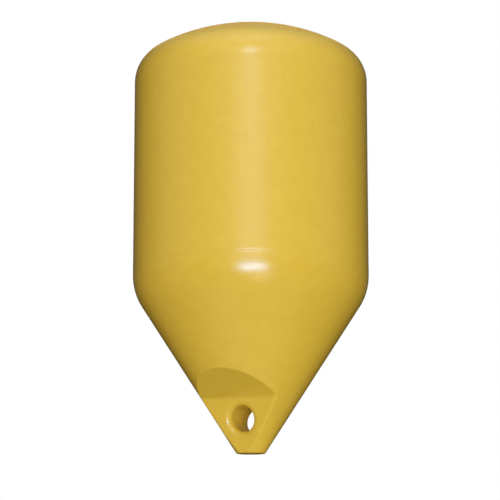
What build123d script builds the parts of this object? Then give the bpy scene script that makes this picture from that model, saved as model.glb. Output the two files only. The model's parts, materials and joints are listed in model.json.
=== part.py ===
from build123d import *
import os
from math import radians, sqrt, tan

# Cylindro-conical mooring buoy, moulded in polyethylene and filled with foam, in millimetres.
# +Z is up, the hull's axis is Z, the eye's axis is Y, and z = 0 is the waterline.

# Driving dimensions. Each height is measured up from the flat end of the tip.
overall_height = 734
waterline_height = 312
clearance = 0.3

# The hull: a spherical crown, a straight drum and a cone, with rolled corners between them
hull_radius = 200
crown_radius = 342
knuckle_radius = 60
shoulder_height = 272
shoulder_radius = 95
tip_radius = 24
tip_edge_radius = 3

# The seam between the two halves, a little above the shoulder, with a lap inside it
seam_above_shoulder = 40
seam_chamfer = 0.2
lap_inset = 10
lap_height = 12

# The lug: two tapered flats, and an inclined shelf over each
lug_half_thickness = 34.5
flat_taper = 11
shelf_height = 91
shelf_angle = 31.7
shelf_fillet = 11
ridge_radius = 5

# The eye: two drafted cores that meet at a short parallel land, with rolled rims
eye_height = 57
eye_radius = 20.5
eye_land = 14
eye_draft = 2.5
eye_rim_radius = 11

# The plug in the crown that closes the filling hole
fill_head_radius = 30
fill_head_depth = 6
fill_shank_radius = 22
fill_shank_length = 12
fill_socket_width = 19
fill_socket_depth = 3
fill_edge = 0.8

# The plug in the tip that closes the mould's vent
vent_head_radius = 8.5
vent_head_depth = 3
vent_shank_radius = 5
vent_shank_length = 7
vent_edge = 0.4

seam_height = shoulder_height + seam_above_shoulder
lap_radius = hull_radius - lap_inset


def level(height):
    """Turns a height above the tip into a z above the waterline."""
    return height - waterline_height


def flat_offset(height):
    """How far the lug's flat lies from the hull's axis at a height above the tip."""
    return lug_half_thickness + (height - eye_height) * tan(radians(flat_taper))


tip_plane = Plane.XY.offset(level(0))
seam_plane = Plane.XY.offset(level(seam_height))
top_plane = Plane.XY.offset(level(overall_height))

# Half section of the hull, from the tip's flat end to the top of the crown
with BuildSketch(Plane.XZ) as hull_section:
    crown_centre = level(overall_height) - crown_radius
    with BuildLine():
        tip_end = Line((0, level(0)), (tip_radius, level(0)))
        cone = Line(tip_end @ 1, (hull_radius, level(shoulder_height)))
        crown_foot = crown_centre + sqrt(crown_radius**2 - hull_radius**2)
        side = Line(cone @ 1, (hull_radius, crown_foot))
        RadiusArc(side @ 1, (0, level(overall_height)), -crown_radius)
        Line((0, level(overall_height)), tip_end @ 0)
    make_face()
    fillet(hull_section.vertices().sort_by_distance(side @ 1)[0], knuckle_radius)
    fillet(hull_section.vertices().sort_by_distance(cone @ 1)[0], shoulder_radius)

# What the mould keeps out of the cone on each side to leave the lug, seen along X
with BuildSketch(Plane.YZ) as relief_section:
    outside = 1.2 * hull_radius
    below_tip = -tip_radius
    shelf_rise = (outside - flat_offset(shelf_height)) * tan(radians(shelf_angle))
    with BuildLine():
        flat = Line(
            (flat_offset(below_tip), level(below_tip)),
            (flat_offset(shelf_height), level(shelf_height)),
        )
        shelf = Line(flat @ 1, (outside, level(shelf_height) + shelf_rise))
        Polyline(shelf @ 1, (outside, level(below_tip)), flat @ 0)
    make_face()
    fillet(relief_section.vertices().sort_by_distance(flat @ 1)[0], shelf_fillet)
    mirror(about=Plane.YZ)

# Half section of the eye's bore, above the eye's axis
with BuildSketch(Plane.YZ) as eye_section:
    eye_level = level(eye_height)
    mouth = hull_radius / 2
    flare = (mouth - eye_land / 2) * tan(radians(eye_draft))
    with BuildLine():
        Polyline(
            (-mouth, eye_level),
            (-mouth, eye_level + eye_radius + flare),
            (-eye_land / 2, eye_level + eye_radius),
            (eye_land / 2, eye_level + eye_radius),
            (mouth, eye_level + eye_radius + flare),
            (mouth, eye_level),
            close=True,
        )
    make_face()

# The whole hull as one form, before it is parted at the seam
with BuildPart() as hull_form:
    add(hull_section.sketch)
    revolve(axis=Axis.Z)

with BuildPart() as upper_hull:
    add(hull_form.part)
    split(bisect_by=seam_plane, keep=Keep.TOP)
    chamfer(upper_hull.edges().group_by(Axis.Z)[0], seam_chamfer)
    # the recess that the lower half's lap stands in
    with BuildSketch(seam_plane):
        Circle(lap_radius + clearance)
    extrude(amount=lap_height + clearance, mode=Mode.SUBTRACT)
    # the filling hole, with a seat that the plug's head lies in
    with Locations(top_plane):
        CounterBoreHole(
            radius=fill_shank_radius + clearance,
            counter_bore_radius=fill_head_radius + clearance,
            counter_bore_depth=fill_head_depth,
            depth=fill_head_depth + fill_shank_length + clearance,
        )

with BuildPart() as lower_hull:
    add(hull_form.part)
    split(bisect_by=seam_plane, keep=Keep.BOTTOM)
    with BuildSketch(seam_plane):
        Circle(lap_radius)
    extrude(amount=lap_height)
    # the lug, and the soft edges round each flat and its shelf
    extrude(relief_section.sketch, amount=hull_radius, both=True, mode=Mode.SUBTRACT)
    relief_edges = lower_hull.edges(Select.LAST).filter_by(GeomType.LINE, reverse=True)
    fillet(relief_edges.filter_by(lambda edge: edge.center().Z > level(1)), ridge_radius)
    fillet(lower_hull.edges().group_by(Axis.Z)[0], tip_edge_radius)
    # the eye, and the rolled rims where it comes out through the flats
    revolve(eye_section.sketch, axis=Axis((0, 0, eye_level), (0, 1, 0)), mode=Mode.SUBTRACT)
    eye_rims = lower_hull.edges(Select.LAST).filter_by(lambda edge: abs(edge.center().Y) > eye_land)
    fillet(eye_rims, eye_rim_radius)
    # the vent in the tip, with a seat that the plug's head lies in
    with Locations(-tip_plane):
        CounterBoreHole(
            radius=vent_shank_radius + clearance,
            counter_bore_radius=vent_head_radius + clearance,
            counter_bore_depth=vent_head_depth,
            depth=vent_head_depth + vent_shank_length + clearance,
        )

with BuildPart() as fill_plug:
    with BuildSketch(top_plane):
        Circle(fill_head_radius)
    extrude(amount=-fill_head_depth)
    chamfer(fill_plug.edges().group_by(Axis.Z)[-1], fill_edge)
    with BuildSketch(top_plane.offset(-fill_head_depth)):
        Circle(fill_shank_radius)
    extrude(amount=-fill_shank_length)
    # the hexagonal socket for the key
    with BuildSketch(top_plane):
        RegularPolygon(radius=fill_socket_width / 2, side_count=6, major_radius=False)
    extrude(amount=-fill_socket_depth, mode=Mode.SUBTRACT)

with BuildPart() as vent_plug:
    with BuildSketch(tip_plane):
        Circle(vent_head_radius)
    extrude(amount=vent_head_depth)
    chamfer(vent_plug.edges().group_by(Axis.Z)[0], vent_edge)
    with BuildSketch(tip_plane.offset(vent_head_depth)):
        Circle(vent_shank_radius)
    extrude(amount=vent_shank_length)

pieces = {
    "upper_hull": upper_hull,
    "lower_hull": lower_hull,
    "fill_plug": fill_plug,
    "vent_plug": vent_plug,
}
os.makedirs("parts", exist_ok=True)
for name, piece in pieces.items():
    piece.part.label = name
    export_step(piece.part, f"parts/{name}.step")
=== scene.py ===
import json
from math import cos, pi, radians, sin

import bmesh
import bpy
from bpy.props import FloatProperty, FloatVectorProperty, PointerProperty
from mathutils import Matrix, Vector


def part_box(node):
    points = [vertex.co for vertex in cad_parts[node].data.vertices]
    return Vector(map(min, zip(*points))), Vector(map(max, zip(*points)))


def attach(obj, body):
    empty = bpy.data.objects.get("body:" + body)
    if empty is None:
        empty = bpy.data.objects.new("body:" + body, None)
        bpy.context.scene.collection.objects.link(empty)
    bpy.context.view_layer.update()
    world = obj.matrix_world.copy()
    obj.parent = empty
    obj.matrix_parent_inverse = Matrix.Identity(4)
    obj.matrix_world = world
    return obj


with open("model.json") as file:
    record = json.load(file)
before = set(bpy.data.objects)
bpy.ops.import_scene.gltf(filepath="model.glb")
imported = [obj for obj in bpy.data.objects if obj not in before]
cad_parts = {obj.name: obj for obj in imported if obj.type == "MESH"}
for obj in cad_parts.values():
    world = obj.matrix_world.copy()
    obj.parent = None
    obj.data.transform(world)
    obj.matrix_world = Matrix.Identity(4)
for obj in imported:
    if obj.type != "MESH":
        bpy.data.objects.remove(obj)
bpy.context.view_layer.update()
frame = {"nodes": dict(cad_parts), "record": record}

bl_info = {
    "name": "Moulded mooring buoy",
    "version": (1, 0, 0),
    "blender": (4, 5, 0),
    "location": "3D View > Sidebar > Buoy",
    "description": "Finishes a moulded polyethylene mooring buoy and sets up its studio",
    "category": "Object",
}

# Everything is in metres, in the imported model's own frame: +Z is up, the eye's axis is Y,
# and z = 0 is the waterline.
MM = 0.001
HULL_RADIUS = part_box("upper_hull")[1].x
SEAM_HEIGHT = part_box("upper_hull")[0].z
EYE = next(mount for mount in frame["record"]["mounts"] if mount["name"] == "eye")
EYE_CENTRE = Vector(EYE["pos_m"])
EYE_RADIUS = EYE["dims"]["r_mm"] / 1000

# How deep the moulded skin's ripples and its fine grain are
RIPPLE_DEPTH = 0.03 * MM
GRAIN_DEPTH = 0.01 * MM

# A moulded ridge's section, each point as a share of its width along the skin and of its height
# out of the skin: even flanks that carry on under the skin, and a soft crest
RIDGE_SECTION = ((-1.0, -1.0), (-0.1, 0.8), (0.0, 0.9), (0.1, 0.8), (1.0, -1.0))
RIDGE_STEPS = 192

# The studio's sizes, and the camera's frame in millimetres
FLOOR_REACH = 30.0
TENT_RADIUS = 6.0
CLIP_DISTANCE = 50.0
FRAME_WIDTH = 36.0

# The ambient light is warm, and what the skin mirrors is cool, apart from a board behind it
AMBIENT_TINT = (1.02, 0.88, 0.68)
TENT_TINT = (0.7, 0.85, 1.0)
COOL_GLOW = "#95C2FF"
WARM_GLOW = "#FFC255"


def linear(hex_colour):
    """Turns an sRGB hex colour into the linear values that the shaders take."""
    values = [int(hex_colour[i : i + 2], 16) / 255 for i in (1, 3, 5)]
    return [v / 12.92 if v <= 0.04045 else ((v + 0.055) / 1.055) ** 2.4 for v in values]


def opaque(colour):
    """Adds the alpha that a colour socket takes."""
    return (*colour[:3], 1.0)


def add_node(tree, kind, inputs=None, **settings):
    """Adds a node with its settings, and sets each input to a value or links it to a socket."""
    node = tree.nodes.new(kind)
    for name, value in settings.items():
        setattr(node, name, value)
    for name, value in (inputs or {}).items():
        if isinstance(value, bpy.types.NodeSocket):
            tree.links.new(value, node.inputs[name])
        else:
            node.inputs[name].default_value = value
    return node


def new_material(name):
    """Makes an empty node material and returns it with its tree."""
    material = bpy.data.materials.new(name)
    material.use_nodes = True
    material.node_tree.nodes.clear()
    return material, material.node_tree


def output_surface(tree, shader, kind="ShaderNodeOutputMaterial"):
    """Links the finished shader to the tree's output."""
    add_node(tree, kind, {"Surface": shader})


def new_piece(name, form, material):
    """Turns a bmesh into a smooth object at the origin, with its place in its mesh."""
    mesh = bpy.data.meshes.new(name)
    form.to_mesh(mesh)
    form.free()
    mesh.shade_smooth()
    mesh.materials.append(material)
    piece = bpy.data.objects.new(name, mesh)
    bpy.context.scene.collection.objects.link(piece)
    return piece


def paint(node_name, material):
    """Gives a CAD node its finished material."""
    for slot in frame["nodes"][node_name].material_slots:
        slot.material = material


class BuoyHull(bpy.types.PropertyGroup):
    """The skin of the hull's two halves."""

    yellow: FloatVectorProperty(
        name="Yellow",
        description="Colour of the pigmented polyethylene",
        default=linear("#E7C645"),
        size=3,
        min=0.0,
        max=1.0,
        subtype="COLOR",
    )
    warm_yellow: FloatVectorProperty(
        name="Warm yellow",
        description="Colour where the pigment lies a little thicker",
        default=linear("#E5C342"),
        size=3,
        min=0.0,
        max=1.0,
        subtype="COLOR",
    )
    roughness: FloatProperty(
        name="Roughness",
        description="How soft a reflection in the moulded skin is",
        default=0.23,
        min=0.0,
        max=1.0,
        subtype="FACTOR",
    )
    mottle_size: FloatProperty(
        name="Mottle size",
        description="Distance between one cloud of pigment and the next",
        default=18 * MM,
        unit="LENGTH",
    )
    ripple_size: FloatProperty(
        name="Ripple size",
        description="Distance between the gentle ripples that the cooling skin is left with",
        default=14 * MM,
        unit="LENGTH",
    )
    grain_size: FloatProperty(
        name="Grain size",
        description="Distance between the fine grains that the mould leaves",
        default=1.2 * MM,
        unit="LENGTH",
    )
    wax: FloatProperty(
        name="Wax",
        description="How much of the skin a thin film of wax from the mould lies on",
        default=1.0,
        min=0.0,
        max=1.0,
        subtype="FACTOR",
    )


class BuoyPlugs(bpy.types.PropertyGroup):
    """The skin of the filling plug and the vent plug."""

    yellow: FloatVectorProperty(
        name="Yellow",
        description="Colour of the bar that the plugs are turned from",
        default=linear("#DDBE5C"),
        size=3,
        min=0.0,
        max=1.0,
        subtype="COLOR",
    )
    warm_yellow: FloatVectorProperty(
        name="Warm yellow",
        description="Colour where the bar took up more pigment",
        default=linear("#D6B24E"),
        size=3,
        min=0.0,
        max=1.0,
        subtype="COLOR",
    )
    roughness: FloatProperty(
        name="Roughness",
        description="How soft a reflection in the turned skin is",
        default=0.5,
        min=0.0,
        max=1.0,
        subtype="FACTOR",
    )
    mottle_size: FloatProperty(
        name="Mottle size",
        description="Distance between one cloud of pigment and the next",
        default=12 * MM,
        unit="LENGTH",
    )
    ripple_size: FloatProperty(
        name="Ripple size",
        description="Distance between the gentle ripples of the skin",
        default=6 * MM,
        unit="LENGTH",
    )
    grain_size: FloatProperty(
        name="Grain size",
        description="Distance between the fine marks that the tool leaves",
        default=1.2 * MM,
        unit="LENGTH",
    )
    wax: FloatProperty(
        name="Wax",
        description="How much of the skin a thin film of wax lies on",
        default=0.0,
        min=0.0,
        max=1.0,
        subtype="FACTOR",
    )


class BuoySeam(bpy.types.PropertyGroup):
    """The lines that the mould leaves round the hull."""

    ridge_height: FloatProperty(
        name="Ridge height",
        description="Height of the parting line, whose soft crest stands out by nine tenths of it",
        default=0.16 * MM,
        unit="LENGTH",
    )
    witness_height: FloatProperty(
        name="Witness height",
        description="Height of each of the two fainter lines under the parting line",
        default=0.06 * MM,
        unit="LENGTH",
    )
    ridge_width: FloatProperty(
        name="Ridge width",
        description="Width of the parting line at the hull's skin",
        default=2.1 * MM,
        unit="LENGTH",
    )


class BuoyEye(bpy.types.PropertyGroup):
    """The line that the mould leaves round the eye's wall."""

    flash_height: FloatProperty(
        name="Flash height",
        description="Height of the flash line, whose soft crest stands out by nine tenths of it",
        default=0.35 * MM,
        unit="LENGTH",
    )
    flash_width: FloatProperty(
        name="Flash width",
        description="Width of the flash line at the eye's wall",
        default=1.2 * MM,
        unit="LENGTH",
    )


class BuoyStudio(bpy.types.PropertyGroup):
    """The camera, the light and the floor."""

    azimuth: FloatProperty(
        name="Azimuth",
        description="How far the camera stands to the right of the eye's axis",
        default=radians(29.5),
        subtype="ANGLE",
    )
    elevation: FloatProperty(
        name="Elevation",
        description="The camera's height as seen from the point that it looks at",
        default=radians(-9.9),
        subtype="ANGLE",
    )
    distance: FloatProperty(
        name="Distance",
        description="How far the camera is from the point that it looks at",
        default=3.405,
        unit="LENGTH",
    )
    aim_height: FloatProperty(
        name="Aim height",
        description="Height above the waterline that the camera looks at",
        default=0.034,
        unit="LENGTH",
    )
    aim_side: FloatProperty(
        name="Aim to the side",
        description="How far to the right of the hull's axis the camera looks",
        default=-1.4 * MM,
        unit="LENGTH",
    )
    lens: FloatProperty(
        name="Lens",
        description="Focal length for a frame 36 mm wide",
        default=144.0,
        min=1.0,
        subtype="DISTANCE_CAMERA",
    )
    key: FloatProperty(
        name="Key level",
        description="Share of the light from the front, where 1 shows a colour as it is",
        default=0.255,
        min=0.0,
    )
    low: FloatProperty(
        name="Low level",
        description="Share of the light from below the camera and a little to its right",
        default=0.29,
        min=0.0,
    )
    top: FloatProperty(
        name="Top level",
        description="Share of the light from overhead",
        default=0.35,
        min=0.0,
    )
    back: FloatProperty(
        name="Back level",
        description="Share of the light from above and behind",
        default=0.6,
        min=0.0,
    )
    overhead: FloatProperty(
        name="Overhead level",
        description="Ambient light from straight above",
        default=0.16,
        min=0.0,
    )
    ambient: FloatProperty(
        name="Ambient level",
        description="Ambient light from all round, level with the buoy",
        default=0.6,
        min=0.0,
    )
    underneath: FloatProperty(
        name="Underneath level",
        description="Ambient light from straight below",
        default=0.35,
        min=0.0,
    )
    floor_colour: FloatVectorProperty(
        name="Floor",
        description="Colour of the studio's floor",
        default=linear("#F2F1EE"),
        size=3,
        min=0.0,
        max=1.0,
        subtype="COLOR",
    )
    floor_lift: FloatProperty(
        name="Floor lift",
        description="How much white the camera sees added to the lit floor",
        default=0.62,
        min=0.0,
        max=1.0,
        subtype="FACTOR",
    )


def polyethylene(name, finish):
    """Pigmented polyethylene, moulded by turning powder in a hot steel mould.

    It gives a satin skin: a clear but soft highlight whose edges waver with the skin's gentle
    ripples, and a colour that clouds a little where the powder lay thicker. The mould's grain is
    finer than the render can show, so it is drawn coarser, and it only softens the highlight.
    """
    material, tree = new_material(name)
    coordinates = add_node(tree, "ShaderNodeTexCoord").outputs["Object"]

    clouds = add_node(
        tree,
        "ShaderNodeTexNoise",
        {"Vector": coordinates, "Scale": 1 / finish.mottle_size, "Detail": 3.0, "Roughness": 0.6},
    ).outputs["Fac"]
    # the middle of the noise's range, so that each colour has its clouds, with soft edges
    cloud_share = add_node(
        tree,
        "ShaderNodeMapRange",
        {"Value": clouds, "From Min": 0.38, "From Max": 0.62},
        interpolation_type="SMOOTHSTEP",
    ).outputs["Result"]
    pigment = add_node(
        tree,
        "ShaderNodeMix",
        {0: cloud_share, 6: opaque(finish.yellow), 7: opaque(finish.warm_yellow)},
        data_type="RGBA",
    ).outputs[2]

    ripple = add_node(
        tree,
        "ShaderNodeTexNoise",
        {"Vector": coordinates, "Scale": 1 / finish.ripple_size, "Detail": 1.0},
    ).outputs["Fac"]
    grain = add_node(
        tree,
        "ShaderNodeTexNoise",
        {"Vector": coordinates, "Scale": 1 / finish.grain_size, "Detail": 2.0},
    ).outputs["Fac"]
    rippled = add_node(
        tree, "ShaderNodeBump", {"Height": ripple, "Strength": 1.0, "Distance": RIPPLE_DEPTH}
    ).outputs["Normal"]
    grained = add_node(
        tree,
        "ShaderNodeBump",
        {"Height": grain, "Strength": 1.0, "Distance": GRAIN_DEPTH, "Normal": rippled},
    ).outputs["Normal"]
    # the skin is a little duller where the pigment lies thicker
    gloss = add_node(
        tree,
        "ShaderNodeMapRange",
        {"Value": clouds, "To Min": finish.roughness * 0.85, "To Max": finish.roughness * 1.15},
    ).outputs["Result"]

    shader = add_node(
        tree,
        "ShaderNodeBsdfPrincipled",
        {
            "Base Color": pigment,
            "Roughness": gloss,
            "IOR": 1.51,
            "Coat Weight": finish.wax,
            "Coat IOR": 1.55,
            "Coat Roughness": finish.roughness,
            "Coat Normal": grained,
            "Normal": grained,
        },
    )
    output_surface(tree, shader.outputs["BSDF"])
    return material


def hull_material():
    """The hull's skin, made once."""
    found = bpy.data.materials.get("moulded polyethylene")
    return found or polyethylene("moulded polyethylene", bpy.context.scene.buoy_hull)


class BUOY_OT_hull(bpy.types.Operator):
    """Finish the two halves of the hull"""

    bl_idname = "buoy.hull"
    bl_label = "Hull"

    def execute(self, context):
        material = hull_material()
        paint("upper_hull", material)
        paint("lower_hull", material)
        return {"FINISHED"}


class BUOY_OT_plugs(bpy.types.Operator):
    """Finish the filling plug in the crown and the vent plug in the tip"""

    bl_idname = "buoy.plugs"
    bl_label = "Plugs"

    def execute(self, context):
        # turned from bar, so paler and duller than the moulded skin, and with no film of wax
        material = polyethylene("turned polyethylene", context.scene.buoy_plugs)
        paint("fill_plug", material)
        paint("vent_plug", material)
        return {"FINISHED"}


def ridge_ring(name, centre, axis, outward, radius, height, width):
    """Spins a low rounded ridge round an axis, with its feet just under the skin that carries it.

    The ridge stands out from the radius, or inwards where its height is negative.
    """
    across = Vector(axis)
    away = Vector(outward)
    form = bmesh.new()
    points = [
        form.verts.new(centre + across * (along * width) + away * (radius + out * height))
        for along, out in RIDGE_SECTION
    ]
    edges = [form.edges.new(pair) for pair in zip(points, points[1:])]
    bmesh.ops.spin(
        form,
        geom=points + edges,
        cent=centre,
        axis=axis,
        angle=2 * pi,
        steps=RIDGE_STEPS,
        use_merge=True,
    )
    bmesh.ops.remove_doubles(form, verts=form.verts, dist=0.001 * MM)
    bmesh.ops.recalc_face_normals(form, faces=form.faces)
    # an open band has no inside: it faces the way that the ridge stands out
    face = next(iter(form.faces))
    from_axis = face.calc_center_median() - centre
    from_axis -= across * from_axis.dot(across)
    if face.normal.dot(from_axis) * height < 0:
        bmesh.ops.reverse_faces(form, faces=form.faces)
    ring = new_piece(name, form, hull_material())
    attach(ring, "root")


class BUOY_OT_seam_lines(bpy.types.Operator):
    """Make the parting line round the hull, and the mould's two fainter witness lines under it"""

    bl_idname = "buoy.seam_lines"
    bl_label = "Seam lines"

    def execute(self, context):
        seam = context.scene.buoy_seam
        for name, above_seam, height in (
            ("parting_line", 2.3 * MM, seam.ridge_height),
            ("upper_witness_line", -1.4 * MM, seam.witness_height),
            ("lower_witness_line", -4.1 * MM, seam.witness_height),
        ):
            ridge_ring(
                name,
                centre=Vector((0, 0, SEAM_HEIGHT + above_seam)),
                axis=(0, 0, 1),
                outward=(0, 1, 0),
                radius=HULL_RADIUS,
                height=height,
                width=seam.ridge_width * height / seam.ridge_height,
            )
        return {"FINISHED"}


class BUOY_OT_eye_flash(bpy.types.Operator):
    """Make the flash line where the eye's two cores met, half way through the lug"""

    bl_idname = "buoy.eye_flash"
    bl_label = "Eye flash line"

    def execute(self, context):
        eye = context.scene.buoy_eye
        ridge_ring(
            "eye_flash_line",
            centre=EYE_CENTRE,
            axis=(0, 1, 0),
            outward=(0, 0, 1),
            radius=EYE_RADIUS,
            height=-eye.flash_height,
            width=eye.flash_width,
        )
        return {"FINISHED"}


def from_target(target, turn, rise, distance):
    """The point at an azimuth, an elevation and a distance from a target."""
    away = Vector((sin(turn) * cos(rise), -cos(turn) * cos(rise), sin(rise)))
    return target + away * distance


def off_axis(azimuth, height, radius):
    """The point at an azimuth, a height above the waterline and a distance from the hull's axis."""
    return from_target(Vector((0, 0, height)), azimuth, 0, radius)


def look_at(obj, target):
    """Turns a camera or a lamp to face a point."""
    obj.matrix_world = Matrix.Translation(obj.location) @ (
        (target - obj.location).to_track_quat("-Z", "Y").to_matrix().to_4x4()
    )


def add_lamp(name, place, target, size, watts):
    """Adds a soft lamp that the camera doesn't see, and turns it to its target."""
    data = bpy.data.lights.new(name, "AREA")
    data.shape = "RECTANGLE"
    data.size, data.size_y = size
    data.energy = watts
    lamp = bpy.data.objects.new(name, data)
    lamp.location = place
    bpy.context.scene.collection.objects.link(lamp)
    look_at(lamp, target)
    lamp.visible_camera = False
    return lamp


def watts_for_level(level, distance):
    """Power that lights a surface facing the lamp to a share of a colour's own brightness."""
    return level * pi * pi * distance**2


def watts_for_glow(glow, size):
    """Power that makes a lamp of this size look that bright in a reflection."""
    return glow * pi * size[0] * size[1]


class BUOY_OT_stage(bpy.types.Operator):
    """Set up the floor, the lamps, the reflectors and the camera"""

    bl_idname = "buoy.stage"
    bl_label = "Studio"

    def execute(self, context):
        studio = context.scene.buoy_studio
        target = Vector((0, 0, studio.aim_height))
        to_right = Vector((cos(studio.azimuth), sin(studio.azimuth), 0))
        target += to_right * studio.aim_side
        viewpoint = from_target(target, studio.azimuth, studio.elevation, studio.distance)

        camera = bpy.data.objects.new("camera", bpy.data.cameras.new("camera"))
        camera.data.lens = studio.lens
        camera.data.sensor_width = FRAME_WIDTH
        camera.data.clip_end = CLIP_DISTANCE
        camera.location = viewpoint
        context.scene.collection.objects.link(camera)
        look_at(camera, target)
        context.scene.camera = camera

        self.add_floor(studio, viewpoint.z)
        self.add_lamps(studio, target)
        self.add_mirrored_lamps(studio)
        self.add_tent(studio)
        self.add_world(studio)
        context.scene.view_settings.view_transform = "Standard"
        return {"FINISHED"}

    def add_floor(self, studio, height):
        """A floor of matt white paint, level with the camera.

        The paint scatters light evenly, so the floor is pale and plain, with no reflection in it.
        """
        material, tree = new_material("matt white painted floor")
        paint_film = add_node(
            tree, "ShaderNodeBsdfDiffuse", {"Color": opaque(studio.floor_colour)}
        )
        # the camera sees the floor lifted to the background's white, with the buoy's shadow on it
        seen = add_node(tree, "ShaderNodeLightPath").outputs["Is Camera Ray"]
        seen_lift = add_node(
            tree, "ShaderNodeMath", {0: seen, 1: studio.floor_lift}, operation="MULTIPLY"
        )
        lift = add_node(tree, "ShaderNodeEmission", {"Strength": seen_lift.outputs[0]})
        lit = add_node(tree, "ShaderNodeAddShader", {0: paint_film.outputs[0], 1: lift.outputs[0]})
        # from below, the floor is open
        from_below = add_node(tree, "ShaderNodeNewGeometry").outputs["Backfacing"]
        open_below = add_node(tree, "ShaderNodeBsdfTransparent")
        surface = add_node(
            tree,
            "ShaderNodeMixShader",
            {0: from_below, 1: lit.outputs[0], 2: open_below.outputs[0]},
        )
        output_surface(tree, surface.outputs[0])

        form = bmesh.new()
        bmesh.ops.create_grid(form, x_segments=1, y_segments=1, size=FLOOR_REACH)
        bmesh.ops.translate(form, verts=form.verts, vec=(0, 0, height))
        floor = new_piece("floor", form, material)
        for rays in ("diffuse", "glossy", "shadow"):
            setattr(floor, "visible_" + rays, False)

    def add_lamps(self, studio, target):
        """Soft lamps that light the skin's colour and leave no highlight."""
        for name, level, turn, rise, distance, size in (
            ("key", studio.key, 0, 12, 4.2, (2.0, 2.0)),
            ("low", studio.low, 10, -28, 4.2, (1.2, 1.2)),
            ("top", studio.top, 0, 75, 4.2, (2.0, 2.0)),
            ("back", studio.back, 180, 55, 4.2, (1.2, 1.2)),
        ):
            place = from_target(target, studio.azimuth + radians(turn), radians(rise), distance)
            lamp = add_lamp(name, place, target, size, watts_for_level(level, distance))
            lamp.visible_glossy = False

    def add_mirrored_lamps(self, studio):
        """What the skin mirrors, and isn't lit by.

        A box shows in the shoulder, the eye's rim and the lug's edges, its hood in the drum, a
        strip in the knuckle, and a board behind in the dome's far edge.
        """
        shoulder = off_axis(studio.azimuth, height=-0.02, radius=0.19)
        knuckle = off_axis(studio.azimuth, height=0.35, radius=0.2)
        for name, target, turn, rise, distance, size, glow, colour in (
            ("mirrored box", shoulder, 1.5, -9.5, 5.0, (2.1, 1.15), 11.5, COOL_GLOW),
            ("box hood", shoulder, 1.5, 0.0, 5.0, (1.9, 0.7), 1.5, COOL_GLOW),
            ("high strip", knuckle, 0, 27, 3.0, (0.45, 0.9), 5.5, COOL_GLOW),
            ("warm rear board", knuckle, 180, 29, 4.0, (2.4, 1.25), 0.38, WARM_GLOW),
        ):
            place = from_target(target, studio.azimuth + radians(turn), radians(rise), distance)
            lamp = add_lamp(name, place, target, size, watts_for_glow(glow, size))
            lamp.data.color = linear(colour)
            lamp.visible_diffuse = False

    def add_tent(self, studio):
        """A tent of grey cloth in bands, dimmer at the sides, which only reflections see.

        Its bands give the skin its long soft gradients from the tip to the dome.
        """
        material, tree = new_material("grey studio cloth")
        place = add_node(tree, "ShaderNodeTexCoord").outputs["Object"]
        outward = add_node(
            tree, "ShaderNodeVectorMath", {0: place}, operation="NORMALIZE"
        ).outputs[0]
        height = add_node(tree, "ShaderNodeSeparateXYZ", {0: outward}).outputs["Z"]
        to_front, to_side = (
            add_node(
                tree,
                "ShaderNodeVectorMath",
                {0: outward, 1: from_target(Vector(), studio.azimuth + turn, 0, 1)},
                operation="DOT_PRODUCT",
            ).outputs["Value"]
            for turn in (0, pi / 2)
        )
        rise = add_node(
            tree, "ShaderNodeMath", {0: height, 1: to_front}, operation="ARCTAN2"
        ).outputs[0]
        along = add_node(
            tree, "ShaderNodeMapRange", {"Value": rise, "From Min": -pi / 2, "From Max": pi}
        ).outputs["Result"]
        bands = add_node(tree, "ShaderNodeValToRGB", {"Fac": along})
        # a grey at each 30 degrees, from straight below, up the front and over the top to the back
        greys = (0.0, 0.28, 0.1, 0.0, 0.68, 0.54, 0.48, 0.18, 0.04, 0.03)
        stops = bands.color_ramp.elements
        for step in range(1, len(greys) - 1):
            stops.new(step / (len(greys) - 1))
        for stop, grey in zip(stops, greys):
            stop.color = opaque([grey * tint for tint in TENT_TINT])
        aside = add_node(
            tree, "ShaderNodeMath", {0: to_side}, operation="ABSOLUTE"
        ).outputs[0]
        brightness = add_node(
            tree,
            "ShaderNodeMapRange",
            {"Value": aside, "From Min": 0.35, "From Max": 0.75, "To Min": 1.0, "To Max": 0.35},
            interpolation_type="SMOOTHSTEP",
        )
        glow = add_node(
            tree,
            "ShaderNodeEmission",
            {"Color": bands.outputs["Color"], "Strength": brightness.outputs["Result"]},
        )
        output_surface(tree, glow.outputs[0])

        form = bmesh.new()
        bmesh.ops.create_uvsphere(form, u_segments=48, v_segments=32, radius=TENT_RADIUS)
        bmesh.ops.reverse_faces(form, faces=form.faces)
        tent = new_piece("tent", form, material)
        for rays in ("camera", "diffuse", "transmission", "volume_scatter", "shadow"):
            setattr(tent, "visible_" + rays, False)

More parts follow.
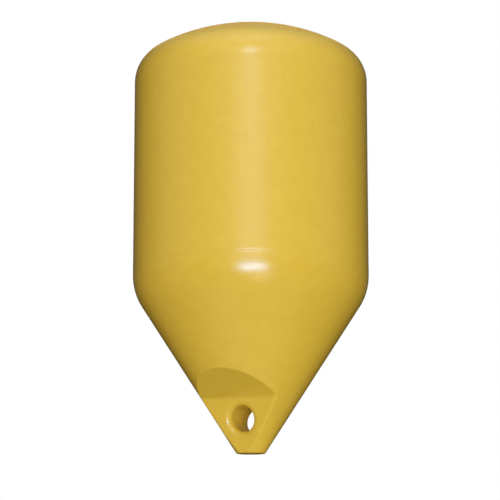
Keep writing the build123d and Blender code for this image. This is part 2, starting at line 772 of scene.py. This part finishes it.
    def add_world(self, studio):
        """White to the camera and to reflections, and a soft ambient light to the rest."""
        world = bpy.data.worlds.new("studio")
        bpy.context.scene.world = world
        world.use_nodes = True
        tree = world.node_tree
        tree.nodes.clear()
        direction = add_node(tree, "ShaderNodeTexCoord").outputs["Object"]
        height = add_node(tree, "ShaderNodeSeparateXYZ", {0: direction}).outputs["Z"]
        share = add_node(tree, "ShaderNodeMapRange", {"Value": height, "From Min": -1.0})
        ambient = add_node(tree, "ShaderNodeValToRGB", {"Fac": share.outputs["Result"]})
        stops = ambient.color_ramp.elements
        stops.new(0.5)
        for stop, level in zip(stops, (studio.underneath, studio.ambient, studio.overhead)):
            stop.color = opaque([level * tint for tint in AMBIENT_TINT])
        path = add_node(tree, "ShaderNodeLightPath").outputs
        glossy = add_node(
            tree,
            "ShaderNodeMath",
            {0: path["Is Camera Ray"], 1: path["Is Glossy Ray"]},
            operation="ADD",
        )
        shown = add_node(
            tree,
            "ShaderNodeMath",
            {0: glossy.outputs[0], 1: path["Is Transmission Ray"]},
            operation="ADD",
            use_clamp=True,
        )
        colour = add_node(
            tree,
            "ShaderNodeMix",
            {0: shown.outputs[0], 6: ambient.outputs["Color"], 7: opaque((1, 1, 1))},
            data_type="RGBA",
        )
        background = add_node(tree, "ShaderNodeBackground", {"Color": colour.outputs[2]})
        output_surface(tree, background.outputs[0], "ShaderNodeOutputWorld")


STEPS = (BUOY_OT_hull, BUOY_OT_plugs, BUOY_OT_seam_lines, BUOY_OT_eye_flash, BUOY_OT_stage)
GROUPS = {
    "buoy_hull": BuoyHull,
    "buoy_plugs": BuoyPlugs,
    "buoy_seam": BuoySeam,
    "buoy_eye": BuoyEye,
    "buoy_studio": BuoyStudio,
}


class BUOY_PT_panel(bpy.types.Panel):
    """Lists the buoy's pieces and its studio"""

    bl_idname = "BUOY_PT_panel"
    bl_label = "Mooring buoy"
    bl_space_type = "VIEW_3D"
    bl_region_type = "UI"
    bl_category = "Buoy"

    def draw(self, context):
        for step in STEPS:
            self.layout.operator(step.bl_idname)
        for group_name, group in GROUPS.items():
            box = self.layout.box()
            for name in group.__annotations__:
                box.prop(getattr(context.scene, group_name), name)


CLASSES = (*GROUPS.values(), *STEPS, BUOY_PT_panel)


def register():
    for item in CLASSES:
        bpy.utils.register_class(item)
    for name, group in GROUPS.items():
        setattr(bpy.types.Scene, name, PointerProperty(type=group))


def unregister():
    for name in GROUPS:
        delattr(bpy.types.Scene, name)
    for item in reversed(CLASSES):
        bpy.utils.unregister_class(item)


def main():
    register()
    bpy.ops.buoy.hull()
    bpy.ops.buoy.plugs()
    bpy.ops.buoy.seam_lines()
    bpy.ops.buoy.eye_flash()
    bpy.ops.buoy.stage()


if __name__ == "__main__":
    main()
